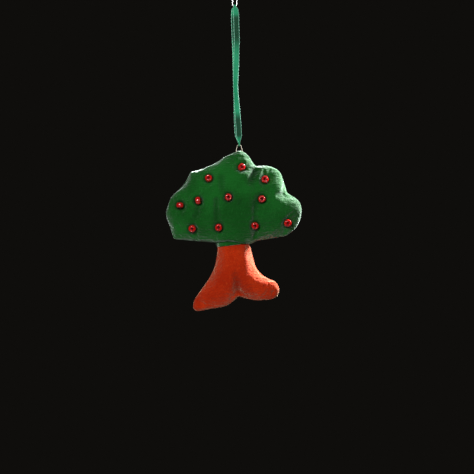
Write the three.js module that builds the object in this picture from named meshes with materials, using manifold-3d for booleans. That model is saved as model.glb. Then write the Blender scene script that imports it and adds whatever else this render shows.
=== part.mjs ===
// A stuffed felt Christmas tree ornament with sewn glass beads. It hangs from a wire hook by a ribbon.
// Millimetres, +Z up. The front faces -Y. The origin is where the hook's crook bears on a branch.

import * as THREE from "three";
import Module from "manifold-3d";

// Running and seating clearance between pieces that touch.
const gap = 0.3;

// The wire hook: a wide crook above and a narrow eye below.
const wireDiameter = 0.75;
const crookInnerRadius = 6.5;
const crookTipDrop = 6;
const crookTipFlare = 1.2;
const hookDrop = 40;
const eyeWidth = 2.4;
const eyeTipHeight = 9;
const shankBendDrop = 16;

// The ribbon that joins the hook to the thread loop.
const ribbonWidth = 3.2;
const ribbonThickness = 0.35;
const ribbonGather = 0.8;
const ribbonFold = 0.8;
const ribbonDrop = 80.9;
const ribbonTopSpread = 2.2;
const ribbonBottomSpread = 6.5;
const ribbonTwist = 34;
const ribbonTwistDrop = 49;
const ribbonTwistReach = 13;

// The thread loop that the ribbon carries. It is sewn through the top of the tree.
const threadDiameter = 0.5;
const threadLegSpacing = 3.5;
const threadArchRadius = 1.4;
const threadX = 2.6;
const threadDrop = 3.5;
const nodLimit = 40;

// The felt that both halves of the tree are cut from.
const clothThickness = 1;
const seamHalf = 1.1;
const stuffingClearance = 0.6;

// The foliage, a lobed pillow that spreads to both sides.
const foliageWidth = 78.3;
const foliageHeight = 53.1;
const foliageCrown = 9.4;
const foliageX = -0.64;

// The trunk, a second pillow that ends in two feet and tucks into the foliage.
const trunkWidth = 50;
const trunkHeight = 42.9;
const trunkCrown = 7.2;
const trunkX = 0.9;
const trunkTuck = 3.8;

// The glass beads, and the thread that holds each one down.
const beadDiameter = 4;
const beadLength = 2.8;
const beadBore = 1.3;
const beadSeatDepth = 0.75;
const beadSeatRadius = 3.2;
const stitchDiameter = 0.35;
const stitchDepth = 1.9;

// Outlines are lists of stretches, and each stretch is a smooth curve through its points. Their
// corners are the points that two stretches share. A point is a share of the width from the
// middle, then a share of the height from the base.
const foliageOutlineShares = [
  { points: [[0.044, 1], [0.093, 0.978], [0.126, 0.918], [0.163, 0.844]] },
  { points: [[0.163, 0.844], [0.256, 0.843], [0.337, 0.787], [0.372, 0.672], [0.396, 0.552]] },
  { points: [[0.396, 0.552], [0.481, 0.464], [0.5, 0.35], [0.47, 0.197], [0.396, 0.091]] },
  { points: [[0.396, 0.091], [0.285, 0.051], [0.167, 0.025], [0.141, -0.012]] },
  { points: [[0.141, -0.012], [0.033, -0.003], [-0.107, -0.036], [-0.137, -0.023]], mouth: true },
  { points: [[-0.137, -0.023], [-0.285, 0.022], [-0.441, 0.049]] },
  { points: [[-0.441, 0.049], [-0.47, 0.18], [-0.5, 0.328]] },
  { points: [[-0.5, 0.328], [-0.459, 0.503], [-0.37, 0.639], [-0.319, 0.781]] },
  { points: [[-0.319, 0.781], [-0.189, 0.836], [-0.056, 0.951], [0.044, 1]] },
];
const foliageMiddleShare = [0, 0.43];

const trunkOutlineShares = [
  { points: [[-0.193, 0.959], [-0.118, 0.994], [0.068, 1], [0.141, 0.959]] },
  { points: [[0.141, 0.959], [0.184, 0.77], [0.236, 0.574], [0.334, 0.459], [0.45, 0.401]] },
  { points: [[0.45, 0.401], [0.498, 0.304], [0.468, 0.192], [0.392, 0.155]] },
  { points: [[0.392, 0.155], [0.253, 0.143], [0.126, 0.165], [0.027, 0.199]] },
  { points: [[0.027, 0.199], [-0.037, 0.128], [-0.129, 0.064], [-0.268, 0.034], [-0.407, 0.005]] },
  { points: [[-0.407, 0.005], [-0.477, 0.005], [-0.5, 0.074], [-0.471, 0.182]] },
  { points: [[-0.471, 0.182], [-0.338, 0.399], [-0.251, 0.574], [-0.215, 0.77], [-0.193, 0.959]] },
];
const trunkMiddleShare = [0, 0.487];

// Bead places on the front, as shares like the outline's. A bead either faces forward, with its
// bore square to the cloth, or lies on its side with the bore turned by so many degrees.
const beadPlaceShares = [
  { share: [0.058, 0.836], stitchTurn: 215 },
  { share: [-0.187, 0.713], stitchTurn: 250 },
  { share: [0.232, 0.703], stitchTurn: 290 },
  { share: [-0.399, 0.417], boreTurn: 90 },
  { share: [-0.264, 0.464], boreTurn: 8 },
  { share: [-0.037, 0.503], stitchTurn: 262 },
  { share: [0.211, 0.486], stitchTurn: 240 },
  { share: [-0.309, 0.158], stitchTurn: 280 },
  { share: [-0.113, 0.18], stitchTurn: 265 },
  { share: [0.157, 0.191], stitchTurn: 250 },
  { share: [0.401, 0.23], stitchTurn: 225 },
];

// How far out from the middle each ring of a pillow's surface lies, as a share of the way.
const outerRingShares = [0.36, 0.66, 0.85, 0.96, 1];
const innerRingShares = [0.45, 0.8, 1];
const rimStepShare = 0.06;

// The ribbon's route: up the front, over the wire and down the back to the thread.
const ribbonRoute = [
  [2.6, 0, -120.9], [2.6, -0.53, -120.7], [2.6, -0.75, -120.15], [2.6, -0.86, -118.6],
  [2.55, -1, -116.3], [2.5, -1.12, -113.6], [2.3, -1.2, -110], [1.97, -1.2, -105.8],
  [1.33, -1.15, -97.1], [0.7, -1.1, -88.4], [0.62, -1.1, -82.6], [0.93, -1.15, -73.9],
  [1.15, -1.2, -65.2], [1.28, -1.2, -59.4], [1.1, -1.2, -53.6], [0.95, -1.2, -47.8],
  [0.72, -1.15, -43.6], [0.36, -1.05, -41.4], [0.1, -1, -40], [0.04, -0.71, -39.29],
  [0, 0, -39], [-0.04, 0.71, -39.29], [-0.1, 1, -40], [-0.5, 1.08, -41.4],
  [-0.8, 1.15, -43.6], [-0.5, 1.2, -47.8], [-0.25, 1.2, -53.6], [0.05, 1.2, -59.4],
  [0.3, 1.2, -65.2], [0.5, 1.15, -73.9], [0.55, 1.1, -82.6], [0.6, 1.1, -88.4],
  [1.05, 1.15, -97.1], [1.3, 1.2, -105.8], [1.5, 1.2, -110], [1.75, 1.12, -113.6],
  [2.2, 1, -116.3], [2.5, 0.86, -118.6], [2.6, 0.75, -120.15], [2.6, 0.53, -120.7],
];
const ribbonStepsPerPoint = 3;

// Facet counts.
const wireSides = 8;
const wireSteps = 72;
const crookArcStep = 30;
const threadSides = 8;
const threadArchSteps = 8;
const stitchSides = 5;
const beadSegments = 12;
const beadProfilePoints = 8;
const seatSegments = 6;
const cornerSteps = 3;

// The rings and passes of the sheet that gives a pillow its swell.
const sheetRings = 14;
const sheetPasses = 400;

const degree = Math.PI / 180;
// Corners of a primitive that agree to this part of a millimetre are one corner.
const jointGrid = 1e4;

// Places that follow from the sizes above.
const wireRadius = wireDiameter / 2;
const threadRadius = threadDiameter / 2;
const stitchRadius = stitchDiameter / 2;
const beadRadius = beadDiameter / 2;
const ribbonBottom = -hookDrop - ribbonDrop;
const foliagePeak = ribbonBottom - threadDrop;
const foliageBase = foliagePeak - foliageHeight;
const trunkTop = foliageBase + trunkTuck;
const trunkBase = trunkTop - trunkHeight;
const threadRunZ = foliagePeak - clothThickness - gap - threadRadius;

const materials = {
  wire: new THREE.MeshStandardMaterial({ color: 0xd9dbdc, roughness: 0.3, metalness: 0.9 }),
  ribbon: new THREE.MeshStandardMaterial({ color: 0x2a9a6a, roughness: 0.55, metalness: 0 }),
  thread: new THREE.MeshStandardMaterial({ color: 0xc8b8a4, roughness: 0.8, metalness: 0 }),
  greenFelt: new THREE.MeshStandardMaterial({ color: 0x1c5a26, roughness: 0.95, metalness: 0 }),
  brownFelt: new THREE.MeshStandardMaterial({ color: 0xa93c12, roughness: 0.95, metalness: 0 }),
  stuffing: new THREE.MeshStandardMaterial({ color: 0xf1efe8, roughness: 1, metalness: 0 }),
  bead: new THREE.MeshStandardMaterial({ color: 0xb01420, roughness: 0.2, metalness: 0 }),
  stitch: new THREE.MeshStandardMaterial({ color: 0x7d1016, roughness: 0.8, metalness: 0 }),
};

const wasm = await Module();
wasm.setup();

const ornament = new THREE.Group();

function addPiece(name, geometry, material) {
  const mesh = new THREE.Mesh(geometry, material);
  mesh.name = name;
  ornament.add(mesh);
  return mesh;
}

// Six times the volume that a list of triangles encloses. It is negative where they face inward.
function signedVolume(positions, index) {
  const a = new THREE.Vector3();
  const b = new THREE.Vector3();
  const c = new THREE.Vector3();
  let total = 0;
  for (let i = 0; i < index.length; i += 3) {
    a.fromArray(positions, 3 * index[i]);
    b.fromArray(positions, 3 * index[i + 1]);
    c.fromArray(positions, 3 * index[i + 2]);
    total += a.dot(b.cross(c));
  }
  return total;
}

// A geometry from points and triangles, with its faces turned outward.
function closedGeometry(points, index) {
  const positions = points.flatMap((point) => point.toArray());
  const outward = signedVolume(positions, index) > 0 ? index : [...index].reverse();
  const geometry = new THREE.BufferGeometry();
  geometry.setAttribute("position", new THREE.Float32BufferAttribute(positions, 3));
  geometry.setIndex(outward);
  return geometry;
}

function toSolid(geometry) {
  return new wasm.Manifold(
    new wasm.Mesh({
      numProp: 3,
      vertProperties: new Float32Array(geometry.attributes.position.array),
      triVerts: new Uint32Array(geometry.index.array),
    }),
  );
}

function toGeometry(solid) {
  const mesh = solid.getMesh();
  const geometry = new THREE.BufferGeometry();
  geometry.setAttribute("position", new THREE.BufferAttribute(new Float32Array(mesh.vertProperties), 3));
  geometry.setIndex(new THREE.BufferAttribute(new Uint32Array(mesh.triVerts), 1));
  return geometry;
}

// Joins rings of points into one tube that runs back into its own start.
function ringLoop(rings) {
  const count = rings[0].length;
  const index = [];
  rings.forEach((ring, i) => {
    const here = i * count;
    const next = ((i + 1) % rings.length) * count;
    for (let j = 0; j < count; j += 1) {
      const k = (j + 1) % count;
      index.push(here + j, next + j, next + k, here + j, next + k, here + k);
    }
  });
  return closedGeometry(rings.flat(), index);
}

// A round thread along a flat closed route. The plane's normal keeps its rings from turning.
function threadRing(route, planeNormal, radius, sides) {
  const rings = route.map((point, i) => {
    const before = route[(i + route.length - 1) % route.length];
    const after = route[(i + 1) % route.length];
    const along = after.clone().sub(before).normalize();
    const across = along.clone().cross(planeNormal);
    return Array.from({ length: sides }, (_, j) => {
      const turn = (2 * Math.PI * j) / sides;
      return point
        .clone()
        .addScaledVector(across, radius * Math.cos(turn))
        .addScaledVector(planeNormal, radius * Math.sin(turn));
    });
  });
  return ringLoop(rings);
}

// A rectangle with round corners, as [across, up] pairs. It runs once round.
function roundedRoute(low, high, cornerRadius) {
  const corners = [
    [high[0] - cornerRadius, high[1] - cornerRadius, 0],
    [low[0] + cornerRadius, high[1] - cornerRadius, 90],
    [low[0] + cornerRadius, low[1] + cornerRadius, 180],
    [high[0] - cornerRadius, low[1] + cornerRadius, 270],
  ];
  return corners.flatMap(([across, up, start]) =>
    Array.from({ length: cornerSteps }, (_, i) => {
      const turn = (start + (90 * i) / (cornerSteps - 1)) * degree;
      return [across + cornerRadius * Math.cos(turn), up + cornerRadius * Math.sin(turn)];
    }),
  );
}

// The points round a panel's edge, from its outline shares. Each knows if it lies on the mouth, and
// both corners of the mouth do.
function panelRim(outlineShares, place) {
  return outlineShares.flatMap(({ points, mouth = false }, k) => {
    const mouthBefore = outlineShares.at(k - 1).mouth ?? false;
    const curve = new THREE.SplineCurve(points.map(place));
    const steps = Math.max(2, Math.round(curve.getLength() / (place.width * rimStepShare)));
    const places = curve.getSpacedPoints(steps).slice(0, -1);
    return places.map((point, i) => ({ point, mouth: mouth || (i === 0 && mouthBefore) }));
  });
}

// Turns a share pair into a point of the panel's plane.
function placer(width, height, x, base) {
  const place = ([across, up]) => new THREE.Vector2(x + across * width, base + up * height);
  place.width = width;
  return place;
}

// The outward direction at each rim point, square to the line between its neighbours.
function rimNormals(rim) {
  return rim.map((_, i) => {
    const before = rim[(i + rim.length - 1) % rim.length].point;
    const after = rim[(i + 1) % rim.length].point;
    const along = after.clone().sub(before).normalize();
    return new THREE.Vector2(-along.y, along.x);
  });
}

// How high a sheet blown up over the panel stands at each of its rings and spokes, from 0 at the
// rim to 1 at its highest. It is solved on triangles between the middle and the rim.
function blownSheet(rim, middle) {
  const spokes = rim.length;
  const places = [middle];
  for (let ring = 1; ring <= sheetRings; ring += 1) {
    rim.forEach(({ point }) => places.push(middle.clone().lerp(point, ring / sheetRings)));
  }
  const node = (ring, spoke) => (ring === 0 ? 0 : 1 + (ring - 1) * spokes + (spoke % spokes));
  const links = places.map(() => new Map());
  const loads = places.map(() => 0);
  const join = (a, b, weight) => {
    links[a].set(b, (links[a].get(b) ?? 0) + weight);
    links[b].set(a, (links[b].get(a) ?? 0) + weight);
  };
  const stretch = (corners) => {
    corners.forEach((a, k) => {
      const b = corners[(k + 1) % 3];
      const c = corners[(k + 2) % 3];
      const toB = places[b].clone().sub(places[a]);
      const toC = places[c].clone().sub(places[a]);
      const area = Math.abs(toB.cross(toC));
      join(b, c, toB.dot(toC) / area);
      loads[a] += area / 3;
    });
  };
  for (let spoke = 0; spoke < spokes; spoke += 1) {
    stretch([0, node(1, spoke), node(1, spoke + 1)]);
    for (let ring = 1; ring < sheetRings; ring += 1) {
      stretch([node(ring, spoke), node(ring + 1, spoke), node(ring + 1, spoke + 1)]);
      stretch([node(ring, spoke), node(ring + 1, spoke + 1), node(ring, spoke + 1)]);
    }
  }
  const free = 1 + (sheetRings - 1) * spokes;
  const lift = places.map(() => 0);
  for (let pass = 0; pass < sheetPasses; pass += 1) {
    for (let i = 0; i < free; i += 1) {
      let pull = loads[i];
      let hold = 0;
      for (const [other, weight] of links[i]) {
        pull += weight * lift[other];
        hold += weight;
      }
      lift[i] = pull / hold;
    }
  }
  const highest = Math.max(...lift);
  return (ring, spoke) => lift[node(ring, spoke)] / highest;
}

// A stuffed panel pair: its rim, its middle, and how its surface swells between them.
function makePillow(outlineShares, middleShare, place, crown) {
  const rim = panelRim(outlineShares, place);
  const middle = place(middleShare);
  const halves = rim.map(() => seamHalf);
  return { rim, normals: rimNormals(rim), middle, crown, halves, lift: blownSheet(rim, middle) };
}

// The share of the crown at a share of the way out along a spoke.
function swell(pillow, share, spoke) {
  const along = Math.min(share, 1) * sheetRings;
  const ring = Math.min(Math.floor(along), sheetRings - 1);
  const inner = pillow.lift(ring, spoke);
  const outer = pillow.lift(ring + 1, spoke);
  return Math.sqrt(inner + (outer - inner) * (along - ring));
}

// The half thickness of a pillow at a point of its plane.
function halfThicknessAt(pillow, point) {
  const reach = point.clone().sub(pillow.middle);
  const count = pillow.rim.length;
  const thickness = (share, spoke) => {
    const half = pillow.halves[spoke % count];
    return half + (pillow.crown - half) * swell(pillow, share, spoke);
  };
  for (let i = 0; i < count; i += 1) {
    const a = pillow.rim[i].point.clone().sub(pillow.middle);
    const b = pillow.rim[(i + 1) % count].point.clone().sub(pillow.middle);
    const area = a.cross(b);
    const alongA = reach.cross(b) / area;
    const alongB = a.cross(reach) / area;
    const share = alongA + alongB;
    if (alongA >= 0 && alongB >= 0 && share > 0) {
      return (alongA * thickness(share, i) + alongB * thickness(share, i + 1)) / share;
    }
  }
  return thickness(0, 0);
}

// The closed solid of a pillow, grown by so much on all sides, or shrunk where that is negative.
function pillowSolid(pillow, grow, ringShares) {
  const thinnest = gap / 2;
  const count = pillow.rim.length;
  const crown = pillow.crown + grow;
  const points = [];
  for (const side of [-1, 1]) {
    const middleHeight = crown * swell(pillow, 0, 0);
    points.push(new THREE.Vector3(pillow.middle.x, side * middleHeight, pillow.middle.y));
    for (const share of ringShares) {
      pillow.rim.forEach(({ point }, i) => {
        const edge = point.clone().addScaledVector(pillow.normals[i], grow);
        const place = pillow.middle.clone().lerp(edge, share);
        const half = Math.max(thinnest, pillow.halves[i] + grow);
        const height = half + (crown - half) * swell(pillow, share, i);
        points.push(new THREE.Vector3(place.x, side * height, place.y));
      });
    }
  }
  const sideSize = 1 + ringShares.length * count;
  const index = [];
  for (const [side, start] of [[0, 0], [1, sideSize]]) {
    for (let i = 0; i < count; i += 1) {
      const next = (i + 1) % count;
      const faces = [[start, start + 1 + i, start + 1 + next]];
      for (let ring = 1; ring < ringShares.length; ring += 1) {
        const inner = start + 1 + (ring - 1) * count;
        const outer = inner + count;
        faces.push([inner + i, outer + i, outer + next], [inner + i, outer + next, inner + next]);
      }
      for (const [a, b, c] of faces) {
        index.push(...(side === 0 ? [a, b, c] : [a, c, b]));
      }
    }
  }
  const frontEdge = sideSize - count;
  const backEdge = frontEdge + sideSize;
  for (let i = 0; i < count; i += 1) {
    const next = (i + 1) % count;
    index.push(frontEdge + i, backEdge + i, backEdge + next);
    index.push(frontEdge + i, backEdge + next, frontEdge + next);
  }
  return toSolid(closedGeometry(points, index));
}

// A block that holds everything on one side of the seam, with half the seam's gap left out.
function seamSide(side) {
  const reach = 2 * (hookDrop + ribbonDrop + threadDrop + foliageHeight + trunkHeight);
  const block = new THREE.BoxGeometry(reach, reach, reach);
  block.translate(0, (side * (reach + gap)) / 2, foliageBase);
  return solidOf(block);
}

// A solid from a three.js primitive, whose corners are first joined.
function solidOf(geometry) {
  const position = geometry.attributes.position;
  const corner = new THREE.Vector3();
  const seen = new Map();
  const points = [];
  const renumber = [];
  for (let i = 0; i < position.count; i += 1) {
    corner.fromBufferAttribute(position, i);
    const key = corner.toArray().map((value) => Math.round(value * jointGrid)).join();
    if (!seen.has(key)) {
      seen.set(key, points.length);
      points.push(corner.clone());
    }
    renumber.push(seen.get(key));
  }
  const raw = geometry.index ? [...geometry.index.array] : renumber.map((_, i) => i);
  const index = [];
  for (let i = 0; i < raw.length; i += 3) {
    const [a, b, c] = [renumber[raw[i]], renumber[raw[i + 1]], renumber[raw[i + 2]]];
    if (a !== b && b !== c && c !== a) {
      index.push(a, b, c);
    }
  }
  return toSolid(closedGeometry(points, index));
}

function subtractAll(solid, tools) {
  return tools.reduce((rest, tool) => rest.subtract(tool), solid);
}

// The wire's route: the tip, over the crook, down the shank and round the narrow eye.
function hookRoute() {
  const crookRadius = crookInnerRadius + wireRadius;
  const crookMiddle = -crookInnerRadius;
  const eyeRadius = eyeWidth / 2;
  const eyeMiddle = -hookDrop + eyeRadius;
  const route = [[-crookRadius - crookTipFlare, crookMiddle - crookTipDrop]];
  for (let turn = 180; turn >= 0; turn -= crookArcStep) {
    const angle = turn * degree;
    route.push([crookRadius * Math.cos(angle), crookMiddle + crookRadius * Math.sin(angle)]);
  }
  route.push([(crookRadius + eyeRadius) / 2, crookMiddle - shankBendDrop / 2]);
  route.push([eyeRadius, crookMiddle - shankBendDrop]);
  route.push([eyeRadius, (crookMiddle - shankBendDrop + eyeMiddle) / 2]);
  for (let turn = 0; turn >= -180; turn -= crookArcStep) {
    const angle = turn * degree;
    route.push([eyeRadius * Math.cos(angle), eyeMiddle + eyeRadius * Math.sin(angle)]);
  }
  route.push([-eyeRadius, -hookDrop + eyeTipHeight]);
  const points = route.map(([x, z]) => new THREE.Vector3(x, 0, z));
  return new THREE.CatmullRomCurve3(points, false, "centripetal");
}

function buildHook() {
  const section = new THREE.Shape();
  for (let i = 0; i < wireSides; i += 1) {
    const turn = (2 * Math.PI * i) / wireSides;
    const corner = [wireRadius * Math.cos(turn), wireRadius * Math.sin(turn)];
    if (i === 0) {
      section.moveTo(...corner);
    } else {
      section.lineTo(...corner);
    }
  }
  section.closePath();
  const wire = new THREE.ExtrudeGeometry(section, {
    steps: wireSteps,
    extrudePath: hookRoute(),
    bevelEnabled: false,
  });
  addPiece("wire_hook", wire, materials.wire);
}

// The ribbon's width at a height: gathered at the wire and at the thread, flat between them.
function ribbonWidthAt(z) {
  const fromTop = THREE.MathUtils.smoothstep(-hookDrop - z, 0, ribbonTopSpread);
  const fromBottom = THREE.MathUtils.smoothstep(z - ribbonBottom, ribbonFold, ribbonBottomSpread);
  return ribbonGather + (ribbonWidth - ribbonGather) * Math.min(fromTop, fromBottom);
}

function buildRibbon() {
  const points = ribbonRoute.map((point) => new THREE.Vector3(...point));
  const curve = new THREE.CatmullRomCurve3(points, true, "centripetal");
  const twistMiddle = -hookDrop - ribbonTwistDrop;
  const steps = ribbonStepsPerPoint * ribbonRoute.length;
  const rings = [];
  for (let i = 0; i < steps; i += 1) {
    const at = curve.getPoint(i / steps);
    const along = curve.getTangent(i / steps);
    const fromTwist = (at.z - twistMiddle) / ribbonTwistReach;
    const turn = ribbonTwist * degree * Math.exp(-fromTwist * fromTwist);
    const across = new THREE.Vector3(Math.cos(turn), Math.sin(turn), 0);
    across.addScaledVector(along, -across.dot(along)).normalize();
    const out = along.clone().cross(across);
    const halfWidth = ribbonWidthAt(at.z) / 2;
    const halfThick = ribbonThickness / 2;
    const corners = [[-1, -1], [1, -1], [1, 1], [-1, 1]];
    rings.push(
      corners.map(([wide, thick]) =>
        at
          .clone()
          .addScaledVector(across, wide * halfWidth)
          .addScaledVector(out, thick * halfThick),
      ),
    );
  }
  addPiece("ribbon_loop", ringLoop(rings), materials.ribbon);
}

// The thread arches over the ribbon's lower fold, and its run lies in the tree along X.
function buildThreadLoop() {
  const archTop = ribbonBottom + ribbonThickness / 2 + gap + threadRadius;
  const archMiddle = archTop - threadArchRadius;
  const legHalf = threadLegSpacing / 2;
  const cornerRadius = 2 * threadRadius;
  const route = [];
  for (let i = 0; i <= threadArchSteps; i += 1) {
    const turn = (Math.PI * i) / threadArchSteps;
    route.push([threadArchRadius * Math.cos(turn), archMiddle + threadArchRadius * Math.sin(turn)]);
  }
  for (let i = 0; i < cornerSteps; i += 1) {
    const turn = Math.PI * (1 + i / (2 * (cornerSteps - 1)));
    route.push([
      -legHalf + cornerRadius + cornerRadius * Math.cos(turn),
      threadRunZ + cornerRadius + cornerRadius * Math.sin(turn),
    ]);
  }
  for (let i = 0; i < cornerSteps; i += 1) {
    const turn = Math.PI * (1.5 + i / (2 * (cornerSteps - 1)));
    route.push([
      legHalf - cornerRadius + cornerRadius * Math.cos(turn),
      threadRunZ + cornerRadius + cornerRadius * Math.sin(turn),
    ]);
  }
  const points = route.map(([x, z]) => new THREE.Vector3(threadX + x, 0, z));
  const ring = threadRing(points, new THREE.Vector3(0, 1, 0), threadRadius, threadSides);
  addPiece("thread_loop", ring, materials.thread);
}

// What the sewn thread needs clear: a bore for its run, and a slit for each leg as the tree nods.
function threadClearances() {
  const reach = threadRadius + gap;
  const bore = new THREE.CylinderGeometry(reach, reach, threadLegSpacing + 2 * reach, threadSides);
  bore.rotateZ(Math.PI / 2);
  bore.translate(threadX, 0, threadRunZ);
  const runDepth = foliagePeak - threadRunZ;
  const slitHeight = 2 * runDepth;
  const nod = nodLimit * degree;
  const slitDepth = 2 * (runDepth * Math.tan(nod) + reach / Math.cos(nod));
  const slits = [-1, 1].map((side) => {
    const slit = new THREE.BoxGeometry(2 * reach, slitDepth, slitHeight);
    slit.translate(threadX + (side * threadLegSpacing) / 2, 0, threadRunZ + slitHeight / 2);
    return solidOf(slit);
  });
  return [solidOf(bore), ...slits];
}

// Splits a pillow into its felt covers and its stuffing, and cuts each by what passes through.
function buildPillow(name, pillow, felt, { cuts = [], frontCuts = [], stuffingCuts = [] }) {
  const outer = pillowSolid(pillow, 0, outerRingShares);
  const inner = pillowSolid(pillow, -clothThickness, innerRingShares);
  const shell = subtractAll(outer, [inner, ...cuts]);
  const front = subtractAll(shell.intersect(seamSide(-1)), frontCuts);
  const back = shell.intersect(seamSide(1));
  addPiece(`${name}_front_cover`, toGeometry(front), felt);
  addPiece(`${name}_back_cover`, toGeometry(back), felt);
  const filling = pillowSolid(pillow, -clothThickness - stuffingClearance, innerRingShares);
  const stuffing = subtractAll(filling, [...cuts, ...stuffingCuts]);
  addPiece(`${name}_stuffing`, toGeometry(stuffing), materials.stuffing);
}

// Where a bead sits: a frame whose Z stands square on the cloth, at the bottom of the bead's seat.
function beadSeat(pillow, place, share) {
  const point = place(share);
  const step = beadDiameter / 2;
  const slope = (x, z) => {
    const ahead = halfThicknessAt(pillow, new THREE.Vector2(point.x + x, point.y + z));
    const behind = halfThicknessAt(pillow, new THREE.Vector2(point.x - x, point.y - z));
    return (ahead - behind) / (2 * step);
  };
  const normal = new THREE.Vector3(-slope(step, 0), -1, -slope(0, step)).normalize();
  const half = halfThicknessAt(pillow, point);
  const origin = new THREE.Vector3(point.x, -half, point.y).addScaledVector(normal, -beadSeatDepth);
  const across = new THREE.Vector3(0, 0, 1).cross(normal).normalize();
  const up = normal.clone().cross(across);
  return new THREE.Matrix4().makeBasis(across, up, normal).setPosition(origin);
}

// A bead with round ends, its bore along Z and its middle at the origin.
function beadGeometry() {
  const wall = (beadDiameter - beadBore) / 4;
  const profile = [];
  for (let i = 0; i <= beadProfilePoints; i += 1) {
    const turn = (2 * Math.PI * (i % beadProfilePoints)) / beadProfilePoints;
    const across = beadBore / 2 + wall + wall * Math.cos(turn);
    profile.push(new THREE.Vector2(across, (beadLength / 2) * Math.sin(turn)));
  }
  const bead = new THREE.LatheGeometry(profile, beadSegments);
  bead.rotateX(Math.PI / 2);
  return bead;
}

// The dimple that a bead's stitch pulls into the felt, a shallow cone with its tip at the origin.
function seatGeometry() {
  const height = beadSeatDepth + gap;
  const dimple = new THREE.ConeGeometry((beadSeatRadius * height) / beadSeatDepth, height, seatSegments);
  dimple.rotateX(-Math.PI / 2);
  dimple.translate(0, 0, height / 2);
  return dimple;
}

// How high a bead's underside lies over the tip of its dimple.
function beadRise(lies) {
  const restRadius = lies ? 0 : (beadDiameter + beadBore) / 4;
  return gap + (beadSeatDepth * restRadius) / beadSeatRadius;
}

// The corners of a stitch's route in its bead's own frame. It goes through the bore, back beside
// the bead or at its far end, and closes under the felt.
function stitchCorners(lies) {
  const clear = gap + stitchRadius;
  const under = beadSeatDepth - clothThickness - stitchDepth;
  const rise = beadRise(lies);
  const low = [lies ? -beadLength / 2 - clear : 0, under];
  const high = lies
    ? [beadLength / 2 + clear, rise + beadRadius]
    : [beadRadius + clear, rise + beadLength + clear];
  return { low, high };
}

// What a stitch needs clear: a needle hole in the felt for each leg, and a slot in the stuffing.
function stitchCuts({ low, high }, frame) {
  const reach = gap + stitchRadius;
  const height = beadSeatDepth - low[1] + 2 * reach;
  const block = (left, right) => {
    const cut = new THREE.BoxGeometry(right - left + 2 * reach, 2 * reach, height);
    cut.translate((left + right) / 2, 0, (low[1] + beadSeatDepth) / 2);
    return solidOf(cut.applyMatrix4(frame));
  };
  return { holes: [block(low[0], low[0]), block(high[0], high[0])], slot: block(low[0], high[0]) };
}

// Every bead with its own stitch. It returns what they need clear in the felt and the stuffing.
function buildBeads(pillow, place) {
  const frontCuts = [];
  const stuffingCuts = [];
  beadPlaceShares.forEach(({ share, stitchTurn, boreTurn }, i) => {
    const number = String(i + 1).padStart(2, "0");
    const lies = boreTurn !== undefined;
    const seat = beadSeat(pillow, place, share);
    const turn = new THREE.Matrix4().makeRotationZ((lies ? boreTurn : stitchTurn) * degree);
    const frame = seat.clone().multiply(turn);
    const bead = beadGeometry();
    if (lies) {
      bead.rotateY(Math.PI / 2);
    }
    bead.translate(0, 0, beadRise(lies) + (lies ? beadDiameter : beadLength) / 2);
    addPiece(`bead_${number}`, bead.applyMatrix4(frame), materials.bead);
    const corners = stitchCorners(lies);
    const flatRoute = roundedRoute(corners.low, corners.high, 2 * stitchRadius);
    const route = flatRoute.map(([across, up]) => new THREE.Vector3(across, 0, up));
    const stitch = threadRing(route, new THREE.Vector3(0, 1, 0), stitchRadius, stitchSides);
    addPiece(`bead_stitch_${number}`, stitch.applyMatrix4(frame), materials.stitch);
    const { holes, slot } = stitchCuts(corners, frame);
    frontCuts.push(...holes, solidOf(seatGeometry().applyMatrix4(frame)));
    stuffingCuts.push(slot);
  });
  return { frontCuts, stuffingCuts };
}

function buildTree() {
  const foliagePlace = placer(foliageWidth, foliageHeight, foliageX, foliageBase);
  const trunkPlace = placer(trunkWidth, trunkHeight, trunkX, trunkBase);
  const foliage = makePillow(foliageOutlineShares, foliageMiddleShare, foliagePlace, foliageCrown);
  const trunk = makePillow(trunkOutlineShares, trunkMiddleShare, trunkPlace, trunkCrown);
  // The foliage's mouth stands off the trunk's neck by the felt and a clearance.
  foliage.halves = foliage.rim.map(({ point, mouth }) =>
    mouth ? halfThicknessAt(trunk, point) + gap + clothThickness : seamHalf,
  );
  const neck = pillowSolid(trunk, gap, outerRingShares);
  buildPillow("foliage", foliage, materials.greenFelt, {
    cuts: [neck, ...threadClearances()],
    ...buildBeads(foliage, foliagePlace),
  });
  buildPillow("trunk", trunk, materials.brownFelt, {});
}

buildHook();
buildRibbon();
buildThreadLoop();
buildTree();

export default ornament;
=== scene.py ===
# A stuffed felt tree ornament with glass beads, hung from a wire hook by a ribbon and a thread loop.
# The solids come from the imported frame. The scene is in metres, +Z is up, and the front faces -Y.
# Outlines, routes and the felt's own sizes are in millimetres, and become metres with mm.

import math

import bpy
import numpy as np
from mathutils import Matrix, Vector, geometry
from mathutils.bvhtree import BVHTree


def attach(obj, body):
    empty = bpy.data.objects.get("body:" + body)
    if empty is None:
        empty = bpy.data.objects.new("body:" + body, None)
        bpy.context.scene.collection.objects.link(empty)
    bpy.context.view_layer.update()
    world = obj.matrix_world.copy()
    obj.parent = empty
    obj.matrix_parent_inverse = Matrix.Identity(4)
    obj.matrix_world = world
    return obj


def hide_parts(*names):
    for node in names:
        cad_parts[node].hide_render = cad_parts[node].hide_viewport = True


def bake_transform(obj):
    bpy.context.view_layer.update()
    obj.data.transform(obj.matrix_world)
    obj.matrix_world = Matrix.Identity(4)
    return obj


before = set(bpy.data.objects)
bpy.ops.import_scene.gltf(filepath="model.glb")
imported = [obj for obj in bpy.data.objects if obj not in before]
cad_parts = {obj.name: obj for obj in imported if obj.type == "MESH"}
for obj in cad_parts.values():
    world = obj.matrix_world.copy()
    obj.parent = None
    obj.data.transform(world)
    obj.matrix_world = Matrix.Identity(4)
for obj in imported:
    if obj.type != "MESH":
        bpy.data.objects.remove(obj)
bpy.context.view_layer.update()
mm = 0.001
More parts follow.
